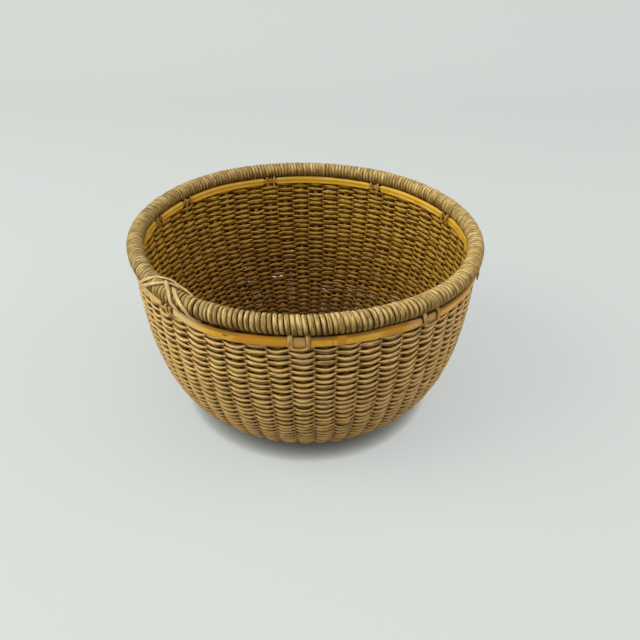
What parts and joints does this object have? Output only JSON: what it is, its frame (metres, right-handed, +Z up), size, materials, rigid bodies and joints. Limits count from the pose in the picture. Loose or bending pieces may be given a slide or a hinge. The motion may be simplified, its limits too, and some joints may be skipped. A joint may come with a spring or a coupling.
{
  "type": "woven basket",
  "caption": "Round open bowl basket in plain weave over flat stakes, with a wrapped roll rim, tied split strips and a flat underside.",
  "frame": {"origin": "middle of the flat underside, at table level", "axes": "+Z up along the bowl's axis, -Y towards the front of the picture, +X to its right"},
  "size_m": [0.2798, 0.2798, 0.1576],
  "materials": {
    "weaver_cane": "matte, slightly waxy round cane",
    "stake_cane": "matte flat cane",
    "binding_cane": "matte greyed cane strand",
    "core_cane": "matte cane",
    "split_peel": "satin peel, smooth side out"
  },
  "bodies": {
    "root": {"spoke_01": "stake_cane", "spoke_02": "stake_cane", "spoke_03": "stake_cane", "spoke_04": "stake_cane", "spoke_05": "stake_cane", "spoke_06": "stake_cane", "spoke_07": "stake_cane", "spoke_08": "stake_cane", "spoke_09": "stake_cane", "spoke_10": "stake_cane", "spoke_11": "stake_cane", "spoke_12": "stake_cane", "spoke_13": "stake_cane", "spoke_14": "stake_cane", "spoke_15": "stake_cane", "spoke_16": "stake_cane", "spoke_17": "stake_cane", "spoke_18": "stake_cane", "spoke_19": "stake_cane", "spoke_20": "stake_cane", "spoke_21": "stake_cane", "spoke_22": "stake_cane", "spoke_23": "stake_cane", "spoke_24": "stake_cane", "spoke_25": "stake_cane", "spoke_26": "stake_cane", "spoke_27": "stake_cane", "added_stake": "stake_cane", "woven_base": "weaver_cane", "woven_wall_lower": "weaver_cane", "woven_wall_upper": "weaver_cane", "rim_core": "core_cane", "rim_binding": "binding_cane", "outer_strip_front": "split_peel", "outer_strip_back": "split_peel", "inner_strip_back": "split_peel", "inner_strip_front": "split_peel", "lashing_01": "binding_cane", "lashing_02": "binding_cane", "lashing_03": "binding_cane", "lashing_04": "binding_cane", "lashing_05": "binding_cane", "lashing_06": "binding_cane", "lashing_07": "binding_cane", "lashing_08": "binding_cane", "lashing_09": "binding_cane", "lashing_10": "binding_cane", "crossed_tie": "binding_cane"}
  },
  "joints": []
}
